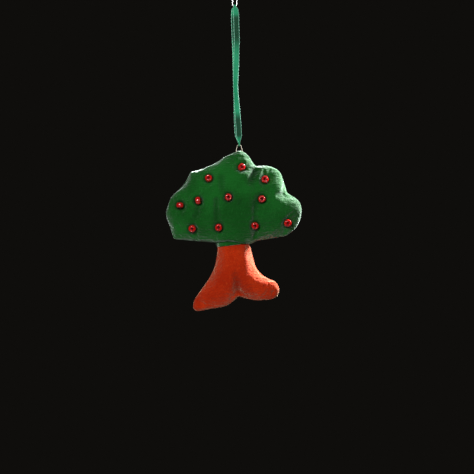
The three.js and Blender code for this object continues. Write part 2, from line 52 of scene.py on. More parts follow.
print("frame loaded:", len(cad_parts), "solids")


# small helpers

def deselectAll():
    bpy.ops.object.select_all(action="DESELECT")


def pickOnly(piece):
    deselectAll()
    piece.select_set(True)
    bpy.context.view_layer.objects.active = piece


def rename(piece, name):
    piece.name = name
    piece.data.name = name
    return piece


def applyModifiers(piece):
    pickOnly(piece)
    for modifier in list(piece.modifiers):
        bpy.ops.object.modifier_apply(modifier=modifier.name)


def smoothShade(piece, angle=None):
    pickOnly(piece)
    if angle is None:
        bpy.ops.object.shade_smooth()
    else:
        bpy.ops.object.shade_smooth_by_angle(angle=math.radians(angle))


def openForEdit(piece):
    pickOnly(piece)
    bpy.ops.object.mode_set(mode="EDIT")
    bpy.ops.mesh.select_all(action="SELECT")


def faceOutwards(piece):
    openForEdit(piece)
    bpy.ops.mesh.normals_make_consistent(inside=False)
    bpy.ops.object.mode_set(mode="OBJECT")


def refine(piece):
    # a Subdivision Surface of one level, the same in the view and in the render
    finer = piece.modifiers.new("finer", "SUBSURF")
    finer.levels = finer.render_levels = 1
    return finer


def placesOf(mesh):
    return np.array([list(vertex.co) for vertex in mesh.vertices])


def meshPiece(name, vertices, faces):
    mesh = bpy.data.meshes.new(name)
    mesh.from_pydata([tuple(v) for v in vertices], [], [tuple(int(i) for i in f) for f in faces])
    mesh.update()
    piece = bpy.data.objects.new(name, mesh)
    bpy.context.scene.collection.objects.link(piece)
    return piece


def tubeMesh(name, layer, vertices, spokes, laps):
    # Closed tubes of rings of points, with a pattern layer. Spokes says how far round each point of a
    # ring lies, and laps how far along each stretch between two rings starts and ends.
    around, count = len(spokes) - 1, len(laps)
    faces, places = [], []
    for first in range(0, len(vertices), around * count):
        for i, (start, end) in enumerate(laps):
            here, ahead = first + i * around, first + (i + 1) % count * around
            for j in range(around):
                k = (j + 1) % around
                faces.append((here + j, ahead + j, ahead + k, here + k))
                u, w = spokes[j], spokes[j + 1]
                places += [(u, start), (u, end), (w, end), (w, start)]
    piece = meshPiece(name, vertices, faces)
    pattern = piece.data.uv_layers.new(name=layer)
    for corner, place in zip(pattern.data, places):
        corner.uv = place
    faceOutwards(piece)
    return piece


def dress(piece, finish):
    piece.data.materials.clear()
    piece.data.materials.append(finish)


def settle(piece, body, slot, *nodes):
    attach(piece, body)
    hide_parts(*nodes)


def lengths(vectors):
    return np.linalg.norm(vectors, axis=1)


def cubic(b, c, leave, arrive, t):
    # the way from b to c that sets out and comes in with the given directions
    return (
        b + leave * t
        + (3 * (c - b) - 2 * leave - arrive) * t ** 2
        + (2 * (b - c) + leave + arrive) * t ** 3
    )


def smoothRoute(points, closed, steps):
    # a centripetal curve through the points, as the wire and the ribbon run in the solids
    points = np.array(points, float)
    count = len(points)
    line = []
    for i in range(count if closed else count - 1):
        b, c = points[i], points[(i + 1) % count]
        a = points[i - 1] if closed or i else 2 * b - c
        d = points[(i + 2) % count] if closed or i + 2 < count else 2 * c - b
        before, span, after = (math.sqrt(np.linalg.norm(q - p)) for p, q in ((a, b), (b, c), (c, d)))
        leave = ((b - a) / before - (c - a) / (before + span) + (c - b) / span) * span
        arrive = ((c - b) / span - (d - b) / (span + after) + (d - c) / after) * span
        line += [cubic(b, c, leave, arrive, j / steps) for j in range(steps)]
    if not closed:
        line.append(points[-1])
    return np.array(line)


def measureLoop(line):
    # the direction at each point of a closed line, its whole length, and the way from its start
    tangents = np.roll(line, -1, 0) - np.roll(line, 1, 0)
    tangents /= lengths(tangents)[:, None]
    spans = lengths(np.roll(line, -1, 0) - line)
    return tangents, spans.sum(), np.concatenate(([0], np.cumsum(spans)[:-1]))


def smoothStep(low, high, value):
    share = np.clip((value - low) / (high - low), 0, 1)
    return share * share * (3 - 2 * share)


# shader building

class Signal:
    # wraps an output socket, so that shader maths reads as plain sums
    def __init__(self, finish, socket):
        self.finish, self.socket = finish, socket

    def math(self, operation, *values):
        return self.finish.node("Math", {"operation": operation}, values)

    def other(self, output):
        # another output of the same node
        return Signal(self.finish, self.socket.node.outputs[output])

    def __add__(self, other):
        return self.math("ADD", self, other)

    def __sub__(self, other):
        return self.math("SUBTRACT", self, other)

    def __rsub__(self, other):
        return self.math("SUBTRACT", other, self)

    def __mul__(self, other):
        return self.math("MULTIPLY", self, other)

    def __abs__(self):
        return self.math("ABSOLUTE", self)


class Finish:
    # a material, with the sockets that stay the same all over set on the shader itself
    def __init__(self, name, values):
        self.material = bpy.data.materials.new(name)
        self.material.use_nodes = True
        self.tree = self.material.node_tree
        self.shader = self.tree.nodes["Principled BSDF"]
        for label, value in values.items():
            self.shader.inputs[label].default_value = value

    def node(self, kind, settings=None, inputs=(), output=0):
        node = self.tree.nodes.new("ShaderNode" + kind)
        for key, value in (settings or {}).items():
            setattr(node, key, value)
        for key, value in inputs.items() if isinstance(inputs, dict) else enumerate(inputs):
            self.feed(node.inputs[key], value)
        return Signal(self, node.outputs[output])

    def feed(self, socket, value):
        if isinstance(value, Signal):
            self.tree.links.new(value.socket, socket)
        else:
            socket.default_value = value

    def surface(self, label, value):
        self.feed(self.shader.inputs[label], value)

    def place(self):
        return self.node("TexCoord", output="Object")

    def stretched(self, scale, turn=(0, 0, 0), vector=None):
        return self.node(
            "Mapping", None, {"Vector": vector or self.place(), "Scale": scale, "Rotation": turn}
        )

    def noise(self, scale, detail=2, rough=0.5, vector=None):
        return self.node(
            "TexNoise", None,
            {"Vector": vector or self.place(), "Scale": scale, "Detail": detail, "Roughness": rough},
        )

    def mix(self, share, first, second):
        return self.node("Mix", {"data_type": "RGBA"}, {"Factor": share, 6: first, 7: second}, 2)

    def wave(self, value, turns):
        angle = value * (2 * math.pi * turns)
        return angle.math("SINE", angle)

    def ramp(self, value, low, high):
        return self.node("MapRange", {"interpolation_type": "SMOOTHSTEP"}, [value, low, high, 0, 1])

    def band(self, value, start, full, fade, end):
        return self.ramp(value, start, full) * (1 - self.ramp(value, fade, end))

    def bump(self, height, depth, strength=1):
        self.surface("Normal", self.node(
            "Bump", None, {"Strength": strength, "Distance": depth, "Height": height}
        ))


def colour(red, green, blue):
    # an sRGB colour, written from 0 to 255, as the linear colour that a node takes
    shares = (value / 255 for value in (red, green, blue))
    return (*(s / 12.92 if s <= 0.04045 else ((s + 0.055) / 1.055) ** 2.4 for s in shares), 1)


# camera, lights and stage

view = {
    "aim": (1.39 * mm, 0, -173.7 * mm),
    "distance": 1.0444,
    "lens": 136.72,
    "sensorWidth": 36,
    "clipStart": 0.05,
}

stage = {
    "floorZ": -0.62,
    "floorRadius": 4.0,
    "floorColour": colour(206, 204, 200),
    "paleReach": 0.36,
    "fadeReach": 0.64,
    "backdropColour": colour(15, 14, 12),
}

lamps = {
    # name: place, size, watts, colour
    "fill": ((-0.42, -1.3, 0.24), 0.34, 14.5, (1.0, 0.99, 0.97)),
    "front": ((0.4, -1.3, 0.1), 0.5, 2.6, (1.0, 1.0, 1.0)),
}
lampAim = (1.39 * mm, 0, -163.7 * mm)
spots = {
    # name: place, size, watts, cone. The cone takes in the ornament alone.
    "rim": ((0.63, 0.37, 0.29), 0.07, 280, 13),
    "edge": ((0.1, 0.72, 0.36), 0.03, 20, 13),
}
spotAim = (2 * mm, 0, -168 * mm)
spotBlend = 0.4
roomLight = 0.09


def makeCamera():
    aim = Vector(view["aim"])
    bpy.ops.object.camera_add(
        location=aim - Vector((0, view["distance"], 0)), rotation=(math.pi / 2, 0, 0)
    )
    camera = bpy.context.object
    camera.name = "camera"
    camera.data.lens = view["lens"]
    camera.data.sensor_width = view["sensorWidth"]
    camera.data.clip_start = view["clipStart"]
    bpy.context.scene.camera = camera


def addLamp(kind, name, place, aim, watts, **settings):
    bpy.ops.object.light_add(type=kind, location=place)
    lamp = bpy.context.object
    lamp.name = name + "Lamp"
    lamp.rotation_euler = (Vector(aim) - Vector(place)).to_track_quat("-Z", "Y").to_euler()
    for key, value in {"energy": watts, **settings}.items():
        setattr(lamp.data, key, value)


def makeLamps():
    for name, (place, size, watts, tint) in lamps.items():
        addLamp("AREA", name, place, lampAim, watts, shape="DISK", size=size, color=tint)
    # two small lamps behind: one from the right for the lit flank, one from above for the top edge
    for name, (place, size, watts, cone) in spots.items():
        addLamp(
            "SPOT", name, place, spotAim, watts,
            shadow_soft_size=size, spot_size=math.radians(cone), spot_blend=spotBlend,
        )


def makeWorld():
    # the room's light is plain grey, but the camera and reflections see the dark backdrop
    world = bpy.data.worlds.new("room")
    bpy.context.scene.world = world
    world.use_nodes = True
    nodes, links = world.node_tree.nodes, world.node_tree.links
    nodes.clear()
    rays, seen, light, dark, joined, output = (
        nodes.new("ShaderNode" + kind)
        for kind in ("LightPath", "Math", "Background", "Background", "MixShader", "OutputWorld")
    )
    seen.operation = "MAXIMUM"
    light.inputs["Color"].default_value = (1, 1, 1, 1)
    light.inputs["Strength"].default_value = roomLight
    dark.inputs["Color"].default_value = stage["backdropColour"]
    for start, end in (
        (rays.outputs["Is Camera Ray"], seen.inputs[0]),
        (rays.outputs["Is Glossy Ray"], seen.inputs[1]),
        (seen.outputs[0], joined.inputs["Fac"]),
        (light.outputs[0], joined.inputs[1]),
        (dark.outputs[0], joined.inputs[2]),
        (joined.outputs[0], output.inputs["Surface"]),
    ):
        links.new(start, end)


def makeFloor():
    # a pale floor under the ornament, which runs out into the dark of the studio
    bpy.ops.mesh.primitive_circle_add(
        vertices=96, radius=stage["floorRadius"], fill_type="NGON", location=(0, 0, stage["floorZ"])
    )
    floor = rename(bpy.context.object, "floor")
    finish = Finish("paleFloor", {"Roughness": 0.9, "Specular IOR Level": 0, "Emission Strength": 1})
    away = finish.node("VectorMath", {"operation": "LENGTH"}, [finish.place()], output="Value")
    gone = finish.ramp(away, stage["paleReach"], stage["fadeReach"])
    finish.surface("Base Color", finish.mix(gone, stage["floorColour"], (0, 0, 0, 1)))
    finish.surface("Emission Color", finish.mix(gone, (0, 0, 0, 1), stage["backdropColour"]))
    dress(floor, finish.material)


bpy.context.scene.view_settings.view_transform = "Standard"
makeCamera()
makeLamps()
makeWorld()
makeFloor()
print("camera, lamps and floor made")


# ribbon, a free loop over the wire and through the thread

ribbon = {
    "width": 3.2 * mm,
    "gathered": 0.9 * mm,  # its width where the thread gathers it, and below where the wire does
    "gatheredTop": 1.25 * mm,
    "thickness": 0.22 * mm,
    "edgeThickness": 0.36 * mm,
    "top": -40 * mm,
    "bottom": -120.9 * mm,
    "topSpread": 2.3 * mm,
    "foldReach": 0.8 * mm,
    "bottomSpread": 6.5 * mm,
    "twist": math.radians(-40),
    "twistPlace": -89 * mm,
    "twistReach": 13 * mm,
    "cup": 0.22 * mm,
    "pleat": 0.2 * mm,
    "scallop": 0.05 * mm,
    "scallopPitch": 1.9 * mm,
    "across": 14,
    "steps": 12,
    "edgeShare": 0.35,
    "weftPitch": 0.42 * mm,
    "warps": 17,
    "selvage": (0.78, 0.9),
    # heights between which one strand shades the other: from, full from, full to, to
    "shadedUpper": (-0.068, -0.057, -0.047, -0.0435),
    "shadedLower": (-0.118, -0.1145, -0.106, -0.1),
    # up the back, over the wire and down the front, in millimetres
    "route": [
        (0, 0, -39), (-0.04, 0.71, -39.29), (-0.08, 1, -40), (-0.25, 1.08, -41.4),
        (-0.38, 1.15, -43.6), (-0.32, 1.2, -47.8), (-0.16, 1.2, -53.6), (0.08, 1.2, -59.4),
        (0.3, 1.2, -65.2), (0.5, 1.15, -73.9), (0.55, 1.1, -82.6), (0.6, 1.1, -88.4),
        (1.05, 1.15, -97.1), (1.3, 1.2, -105.8), (1.5, 1.2, -110), (1.75, 1.12, -113.6),
        (2.2, 1, -116.3), (2.5, 0.86, -118.6), (2.6, 0.75, -120.2), (2.6, 0.53, -120.75),
        (2.6, 0, -120.95), (2.6, -0.53, -120.75), (2.6, -0.75, -120.2), (2.6, -0.86, -118.6),
        (2.55, -1, -116.3), (2.5, -1.12, -113.6), (2.3, -1.2, -110), (1.97, -1.2, -105.8),
        (1.33, -1.15, -97.1), (0.7, -1.1, -88.4), (0.62, -1.1, -82.6), (0.93, -1.15, -73.9),
        (1.15, -1.2, -65.2), (1.28, -1.2, -59.4), (1.1, -1.2, -53.6), (0.95, -1.2, -47.8),
        (0.72, -1.15, -43.6), (0.36, -1.05, -41.4), (0.1, -1, -40), (0.04, -0.71, -39.29),
    ],
}


def ribbonWidthAt(z):
    fromTop = smoothStep(-0.4 * mm, ribbon["topSpread"], ribbon["top"] - z)
    fromBottom = smoothStep(ribbon["foldReach"], ribbon["bottomSpread"], z - ribbon["bottom"])
    return ribbon["width"] - max(
        (1 - fromTop) * (ribbon["width"] - ribbon["gatheredTop"]),
        (1 - fromBottom) * (ribbon["width"] - ribbon["gathered"]),
    )


def makeRibbon():
    line = smoothRoute([[v * mm for v in point] for point in ribbon["route"]], True, ribbon["steps"])
    tangents, total, travelled = measureLoop(line)
    shares = np.linspace(-1, 1, ribbon["across"] + 1)
    vertices = []
    for at, along, run in zip(line, tangents, travelled):
        # the ribbon's width lies across its way, turned by the twist
        aside = (at[2] - ribbon["twistPlace"]) / ribbon["twistReach"]
        turn = ribbon["twist"] * math.exp(-(aside ** 2))
        side = np.array([math.cos(turn), math.sin(turn), 0])
        side -= side.dot(along) * along
        side /= np.linalg.norm(side)
        out = np.cross(along, side)
        width = ribbonWidthAt(at[2])
        gather = 1 - (width - ribbon["gathered"]) / (ribbon["width"] - ribbon["gathered"])
        scallop = ribbon["scallop"] * math.sin(2 * math.pi * run / ribbon["scallopPitch"])
        half = width / 2 + (1 - gather) * scallop
        lift = (
            ribbon["cup"] * (1 - gather) * (shares ** 2 - 0.4)
            + ribbon["pleat"] * gather * np.cos(2.5 * math.pi * shares)
        )
        flat = ribbon["thickness"] + (ribbon["edgeThickness"] - ribbon["thickness"]) * shares ** 6
        flat[[0, -1]] *= ribbon["edgeShare"]
        # over its outer face to one edge, and back over its inner face
        middles = at + side * half * shares[:, None]
        vertices.extend(middles + out * (lift + flat / 2)[:, None])
        vertices.extend((middles + out * (lift - flat / 2)[:, None])[::-1])
    spokes = np.concatenate((shares, shares[::-1], shares[:1])) / 2 + 0.5
    laps = travelled / total
    piece = tubeMesh("ribbon", "weave", vertices, spokes, list(zip(laps, [*laps[1:], 1])))
    smoothShade(piece, 50)
    settle(piece, "ribbon", "ribbon", "ribbon_loop")
    return piece, float(total)


def ribbonFinish(length):
    # satin weave with pale looped edges, and painted shade in two bands where one strand lies in the
    # other's shade
    finish = Finish("wovenRibbon", {
        "Roughness": 0.5, "Specular IOR Level": 0.15,
        "Sheen Weight": 0.04, "Sheen Roughness": 0.3, "Sheen Tint": colour(190, 235, 212),
    })
    weave = finish.node("UVMap", {"uv_map": "weave"})
    sideways = finish.node("SeparateXYZ", None, [weave])
    along = sideways.other(1)
    selvage = finish.ramp(abs(sideways - 0.5) * 2, *ribbon["selvage"])
    wefts = finish.wave(along, length / ribbon["weftPitch"])
    warps = finish.wave(sideways, ribbon["warps"])
    loops = finish.wave(along, length / ribbon["scallopPitch"])
    height = finish.node("SeparateXYZ", None, [finish.place()], output=2)
    shaded = finish.band(height, *ribbon["shadedUpper"]) + finish.band(height, *ribbon["shadedLower"])
    patchy = finish.noise(180, 3)
    body = finish.mix(patchy, colour(30, 144, 98), colour(46, 178, 128))
    # painted shade: the body turns dark green in those bands
    body = finish.mix(shaded * (1 - selvage) * 0.95, body, colour(1, 44, 24))
    threads = finish.mix((wefts * warps) * 0.22 + 0.22, body, colour(14, 96, 64))
    pale = finish.mix(loops * 0.5 + 0.5, colour(104, 188, 158), colour(166, 222, 200))
    finish.surface("Base Color", finish.mix(selvage * 0.95, threads, pale))
    finish.bump(wefts * 0.5 + warps * 0.5 + selvage, 0.05 * mm, 0.5)
    return finish.material


ribbonPiece, ribbonLength = makeRibbon()
dress(ribbonPiece, ribbonFinish(ribbonLength))
print("ribbon made,", round(ribbonLength * 1000), "mm round")


# wire hook, one bent wire with a crook above and a narrow eye below

hook = {
    "radius": 0.375 * mm,
    "tipRound": 0.3 * mm,
    "weldReach": 0.001 * mm,
    "tipSteps": 5,
    "roundness": 5,
    "steps": 12,
    "crookRadius": 6.875,
    "crookZ": -6.5,
    "eyeRadius": 1.2,
    "eyeZ": -38.8,
    "arcStep": 30,
    "tip": (-8.075, -12.5),
    "shank": ((4.0375, -14.5), (1.2, -22.5), (1.2, -30.65)),
    "eyeTip": (-1.2, -31),
}


def arc(middleZ, radius, start, end, step):
    turns = np.radians(np.arange(start, end - 1, -step))
    return [(radius * math.cos(turn), middleZ + radius * math.sin(turn)) for turn in turns]


def makeHook():
    route = [
        hook["tip"],
        *arc(hook["crookZ"], hook["crookRadius"], 180, 0, hook["arcStep"]),
        *hook["shank"],
        *arc(hook["eyeZ"], hook["eyeRadius"], 0, -180, hook["arcStep"]),
        hook["eyeTip"],
    ]
    line = smoothRoute([(x * mm, 0, z * mm) for x, z in route], False, hook["steps"])
    bend = bpy.data.curves.new("wireHook", "CURVE")
    bend.dimensions = "3D"
    bend.bevel_depth = hook["radius"]
    bend.bevel_resolution = hook["roundness"]
    bend.use_fill_caps = True
    spline = bend.splines.new("POLY")
    spline.points.add(len(line) - 1)
    for point, place in zip(spline.points, line):
        point.co = (*place, 1)
    piece = bpy.data.objects.new("wireHook", bend)
    bpy.context.scene.collection.objects.link(piece)
    pickOnly(piece)
    bpy.ops.object.convert(target="MESH")
    piece = bpy.context.object
    openForEdit(piece)
    bpy.ops.mesh.remove_doubles(threshold=hook["weldReach"])
    bpy.ops.mesh.select_all(action="DESELECT")
    bpy.ops.mesh.select_mode(type="FACE")
    bpy.ops.mesh.select_face_by_sides(number=4, type="GREATER")
    bpy.ops.mesh.bevel(offset=hook["tipRound"], segments=hook["tipSteps"], affect="EDGES")
    bpy.ops.object.mode_set(mode="OBJECT")
    faceOutwards(piece)
    rename(piece, "wireHook")
    smoothShade(piece, 60)
    settle(piece, "hook", "wire", "wire_hook")
    return piece


def wireFinish():
    finish = Finish("drawnWire", {"Metallic": 1.0})
    drawn = finish.noise(6, 3, vector=finish.stretched((900, 900, 60)))
    worn = finish.noise(700, 3)
    finish.surface("Base Color", finish.mix(worn, colour(205, 207, 210), colour(236, 237, 238)))
    finish.surface("Roughness", drawn * 0.16 + 0.2)
    finish.bump(drawn, 0.01 * mm, 0.4)
    return finish.material


dress(makeHook(), wireFinish())
print("wire hook made")


# twisted threads: the loop that carries the tree, and the bead stitches

def twistedRing(name, line, side, twine):
    # A closed flat line, whose plane is square to the side direction, becomes twisted plies. Each
    # ply winds round it a whole number of times, so that its ends meet.
    tangents, total, travelled = measureLoop(line)
    across = np.broadcast_to(np.array(side, float), tangents.shape)
    out = np.cross(tangents, across)
    out = out / lengths(out)[:, None]
    lap = travelled / total
    spokes = np.arange(twine["sides"] + 1) / twine["sides"]
    vertices = []
    for ply in range(twine["plies"]):
        phase = 2 * math.pi * (lap * twine["turns"] + ply / twine["plies"])
        wound = across * np.cos(phase)[:, None] + out * np.sin(phase)[:, None]
        for middle, sideways, outwards in zip(line + twine["reach"] * wound, across, out):
            for turn in 2 * math.pi * spokes[:-1]:
                spoke = sideways * math.cos(turn) + outwards * math.sin(turn)
                vertices.append(middle + twine["plyRadius"] * spoke)
    piece = tubeMesh(name, "lay", vertices, spokes, [(share, share + 1 / len(line)) for share in lap])
    smoothShade(piece)
    return piece


def threadFinish(name, dark, light, rough, sheen):
    finish = Finish(name, {"Roughness": rough, "Sheen Weight": sheen, "Sheen Roughness": 0.5})
    lay = finish.node("UVMap", {"uv_map": "lay"})
    strands = finish.noise(1, 3, 0.6, finish.stretched((14, 60, 1), vector=lay))
    finish.surface("Base Color", finish.mix(strands, dark, light))
    finish.bump(strands, 0.04 * mm, 0.7)
    return finish.material


# the thread loop that carries the tree, with lengths in millimetres apart from its plies'

loop = {
    "x": 2.61,
    "archTop": -120.22,
    "archRadius": 1.2,
    "legHalf": 1.78,
    "runZ": -125.95,
    "corner": 0.5,
    "knee": 1.2,  # how far below the arch and above the corners each leg's points stand
    "kneeShare": 0.87,
    "arcStep": 15,
    "cornerStep": 30,
    "steps": 8,
    "reach": 0.095 * mm,
    "plyRadius": 0.108 * mm,
    "plies": 3,
    "turns": 17,
    "sides": 10,
}


def loopRoute():
    # an arch round the ribbon's fold, two legs that spread, and a run with two corners in the crown
    arch, half, corner = loop["archRadius"], loop["legHalf"], loop["corner"]
    archZ, lowZ = loop["archTop"] - arch, loop["runZ"] + corner
    leg = [(half * loop["kneeShare"], archZ - loop["knee"]), (half, lowZ + loop["knee"])]
    corners = [
        (end * (half - corner) + x, z)
        for end, start in ((1, 0), (-1, -90))
        for x, z in arc(lowZ, corner, start, start - 90, loop["cornerStep"])
    ]
    route = [*arc(archZ, arch, 180, 0, loop["arcStep"]), *leg, *corners]
    route += [(-x, z) for x, z in leg[::-1]]
    return smoothRoute([((loop["x"] + x) * mm, 0, z * mm) for x, z in route], True, loop["steps"])


threadLoop = twistedRing("threadLoop", loopRoute(), (0, 1, 0), loop)
settle(threadLoop, "thread", "thread", "thread_loop")
dress(threadLoop, threadFinish("cottonThread", colour(150, 128, 100), colour(236, 228, 212), 0.7, 0.5))
print("thread loop made")


# glass beads and the stitches that hold them

bead = {
    "count": 11,
    "lying": (4, 5),
    "radius": 2.1,
    "bore": 0.6,
    "halfLength": 1.4,
    "rings": 56,
    "sections": 28,
    "square": 0.05,
    "wobble": 0.03,
    "wobbleStep": 2.3,
    "lengthShare": 0.985,
    "seatGap": 0.06,
    # how far each one slid along the felt as its stitch was drawn tight
    "slips": {
        1: (0, -0.8), 2: (0.6, -0.6), 3: (-0.3, -0.7), 4: (0.9, -0.2), 5: (0.6, 0), 7: (-0.4, -0.2),
        8: (0.6, 0.6), 9: (0.4, 0), 10: (0, 0.5), 11: (-0.5, -0.1),
    },
}
stitch = {
    "under": 4.16,
    "clear": 0.12,
    "steps": 9,
    "reach": 0.1 * mm,
    "plyRadius": 0.11 * mm,
    "plies": 3,
    "turns": 20,
    "sides": 6,
}


def solidPoints(node):
    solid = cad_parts[node]
    return np.array([list(solid.matrix_world @ v.co) for v in solid.data.vertices])


def beadFrame(number):
    # the bead's middle, the way its hole runs, and the way its stitch leans, as the solids have them
    points = solidPoints(f"bead_{number:02d}")
    middle = points.mean(0)
    bore = np.linalg.svd(points - middle, full_matrices=False)[2][2]
    ring = solidPoints(f"bead_stitch_{number:02d}")
    lean = ring.mean(0) - middle
    lies = number in bead["lying"]
    if not lies and bore[1] > 0:
        bore = -bore
    side = lean - lean.dot(bore) * bore
    side /= np.linalg.norm(side) * (-1 if lies else 1)
    up = side if lies else bore
    slipX, slipZ = bead["slips"].get(number, (0, 0))
    middle = middle + np.array([slipX, -(slipX * up[0] + slipZ * up[2]) / up[1], slipZ]) * mm
    return middle, bore, side


def beadModel():
    # one bead with its hole along Z: a torus, squared up a little and drawn out to its length
    wall = (bead["radius"] - bead["bore"]) / 2
    deselectAll()
    bpy.ops.mesh.primitive_torus_add(
        major_segments=bead["rings"], minor_segments=bead["sections"],
        major_radius=(bead["bore"] + wall) * mm, minor_radius=wall * mm,
    )
    model = bpy.context.object
    for vertex in model.data.vertices:
        x, y, z = vertex.co
        out = math.hypot(x, y)
        across, up = (out - (bead["bore"] + wall) * mm) / (wall * mm), z / (wall * mm)
        square = 1 + bead["square"] * (2 * across * up) ** 2
        reach = (bead["bore"] + wall * (1 + across * square)) * mm
        vertex.co = (x / out * reach, y / out * reach, up * square * bead["halfLength"] * mm)
    faceOutwards(model)
    smoothShade(model)
    return model


def placeBead(model, number, middle, bore, lean):
    piece = model.copy()
    piece.data = model.data.copy()
    bpy.context.scene.collection.objects.link(piece)
    rename(piece, f"bead{number:02d}")
    third = np.cross(bore, lean)
    turn = Matrix([[lean[k], third[k], bore[k], middle[k]] for k in range(3)] + [[0, 0, 0, 1]])
    wobble = 1 + bead["wobble"] * math.sin(number * bead["wobbleStep"])
    piece.data.transform(turn @ Matrix.Diagonal((wobble, 2 - wobble, bead["lengthShare"], 1)))
    settle(piece, "tree", "bead", f"bead_{number:02d}")
    return piece


def stitchRoute(number):
    # places across and above the bead's middle, through its hole, over its side and under the felt
    half, clear = bead["halfLength"], stitch["clear"]
    low = -stitch["under"]
    if number in bead["lying"]:
        end, top = half + clear, 0.12
        return [
            (-end + 0.5, top), (0, top), (end - 0.5, top), (end, top - 0.35), (end + 0.1, -1.1),
            (end - 0.15, -2.4), (end - 0.5, low), (0, low - 0.2), (-end + 0.5, low),
            (-end + 0.15, -2.4), (-end - 0.1, -1.1), (-end, top - 0.35),
        ]
    rim, side = half + clear, bead["radius"] + clear
    return [
        (0, -1.5), (0, 0), (0.15, half * 0.8), (0.65, rim - 0.12), (1.3, rim), (1.85, rim - 0.4),
        (side, 0.1), (side - 0.1, -0.8), (side - 0.35, -1.9), (side - 0.7, low),
        (side / 2 - 0.2, low - 0.2), (0.1, low),
    ]


def beadFinish():
    finish = Finish("redGlass", {"Coat Weight": 0.6, "Coat Roughness": 0.04, "IOR": 1.52})
    cloudy = finish.noise(650, 3)
    finish.surface("Base Color", finish.mix(cloudy, colour(156, 8, 10), colour(200, 24, 24)))
    finish.surface("Roughness", finish.noise(900, 2) * 0.14 + 0.07)
    finish.bump(finish.noise(420, 2), 0.03 * mm, 0.35)
    return finish.material


beadFrames = {number: beadFrame(number) for number in range(1, bead["count"] + 1)}
beadPlaces = [middle[[0, 2]] / mm for middle, _, _ in beadFrames.values()]
redGlass = beadFinish()
redThread = threadFinish("redThread", colour(90, 6, 8), colour(160, 16, 20), 0.6, 0.1)
model = beadModel()
for number, (middle, bore, lean) in beadFrames.items():
    dress(placeBead(model, number, middle, bore, lean), redGlass)
    across, up = (bore, lean) if number in bead["lying"] else (lean, bore)
    route = [middle + (a * across + u * up) * mm for a, u in stitchRoute(number)]
    line = smoothRoute(route, True, stitch["steps"])
    sewn = twistedRing(f"beadStitch{number:02d}", line, np.cross(across, up), stitch)
    settle(sewn, "tree", "stitch", f"bead_stitch_{number:02d}")
    dress(sewn, redThread)
bpy.data.objects.remove(model)
print("beads and stitches made:", bead["count"])


# felt covers and their filling

felt = {
    "thickness": 0.9,
    "seam": 0.05,
    "rimStep": 0.9,
    "insets": (0.12, 0.4, 0.85, 1.4),
    "insetKept": 0.86,  # a ring's points that come nearer to the rim than this share are left out
    "lattice": 0.85,
    "rowShare": 0.866,
    "ringGap": 0.45,
    "foldStep": 0.7,
    "foldGap": 0.5,
    "foldRingGap": 0.3,
    "mouthGap": 0.25,
    "lipReach": 0.02,
    "cornerReach": 0.6,
    "solveRounds": 900,
    "solveError": 1e-16,
    "tipFrom": (2.6 * mm, 0, -126.6 * mm),
    "tipTo": (2.6 * mm, 0, -124.9 * mm),
}

trunk = {
    "x": 0.9, "base": -216.6, "width": 50, "height": 42.9, "crown": 7.2,
    # stretches between corners, each with its own corner first
    "outline": [
        [(-0.205, 0.959), (-0.118, 0.994), (0.068, 1)],
        [(0.141, 0.959), (0.184, 0.77), (0.236, 0.574), (0.334, 0.459)],
        [(0.45, 0.401), (0.498, 0.304), (0.468, 0.192)],
        [(0.392, 0.155), (0.253, 0.143), (0.126, 0.165)],
        [(0.027, 0.199), (-0.037, 0.128), (-0.129, 0.064), (-0.268, 0.034)],
        [(-0.407, 0.005), (-0.477, 0.005), (-0.5, 0.074)],
        [(-0.471, 0.182), (-0.338, 0.399), (-0.256, 0.574), (-0.22, 0.77), (-0.214, 0.88)],
    ],
    "mouth": None,
    # line, depth, width
    "creases": [
        ([(2.3, -207.9), (1.4, -200), (0.2, -192.8)], 2.4, 2.1),
        ([(-9.2, -178.5), (-6.8, -187), (-9.5, -194)], 0.5, 1.6),
        ([(16.5, -198.5), (11, -201.5)], 0.5, 1.5),
        ([(22.1, -205.6), (23, -206.2)], 0.8, 1.0),
    ],
    "fold": None,
    "creaseShade": 0.3,
    "growth": 0.03,
    "cap": 0.9,
}

foliage = {
    "x": -0.64, "base": -177.5, "width": 78.3, "height": 53.1, "crown": 9.9,
    # stretches between corners, each with its own corner first
    "outline": [
        [(0.044, 1.02), (0.09, 0.985), (0.128, 0.918)],
        [(0.163, 0.844), (0.256, 0.843), (0.337, 0.787), (0.372, 0.672)],
        [(0.396, 0.552), (0.481, 0.464), (0.5, 0.35), (0.47, 0.197)],
        [(0.396, 0.091), (0.285, 0.056), (0.175, 0.03)],
        [(0.13, -0.004), (0.06, -0.003), (-0.04, -0.02)],
        [(-0.1215, -0.036)],
        [(-0.1235, 0.01), (-0.285, 0.028)],
        [(-0.441, 0.049), (-0.47, 0.18)],
        [(-0.5, 0.328), (-0.459, 0.503), (-0.37, 0.639)],
        [(-0.319, 0.781), (-0.189, 0.836), (-0.056, 0.951), (0.0, 0.99)],
    ],
    "mouth": 4,
    "creases": [
        ([(12.4, -132.5), (11.25, -136), (10.1, -140.6), (8.4, -144.8)], 2.6, 2.1),
        ([(27.6, -148.8), (23.6, -150.6)], 1.3, 1.8),
        ([(-20.9, -155), (-21.5, -160), (-24.3, -166)], 1.5, 1.4),
        ([(-10.4, -152.5), (-10.5, -160), (-9.9, -167)], 1.5, 1.5),
        ([(-7.5, -139), (-7.2, -146), (-6.4, -150)], 1.1, 1.7),
        ([(12, -153.5), (11.5, -160), (11.6, -166.5)], 1.4, 1.5),
        ([(11.7, -168.5), (11.4, -172), (11.2, -176.2)], 1.9, 1.4),
        ([(-29.5, -157), (-31.5, -163)], 0.7, 1.5),
        ([(3.2, -153), (2.6, -157)], 0.6, 1.2),
    ],
    "fold": [(-10.7, -176.95), (-8, -176.45), (-4, -176.2), (-0.7, -176.3), (3.3, -176.95)],
    "overhang": 0.9,
    "creaseShade": 0.34,
    "growth": 0.035,
    "cap": 1.2,
}

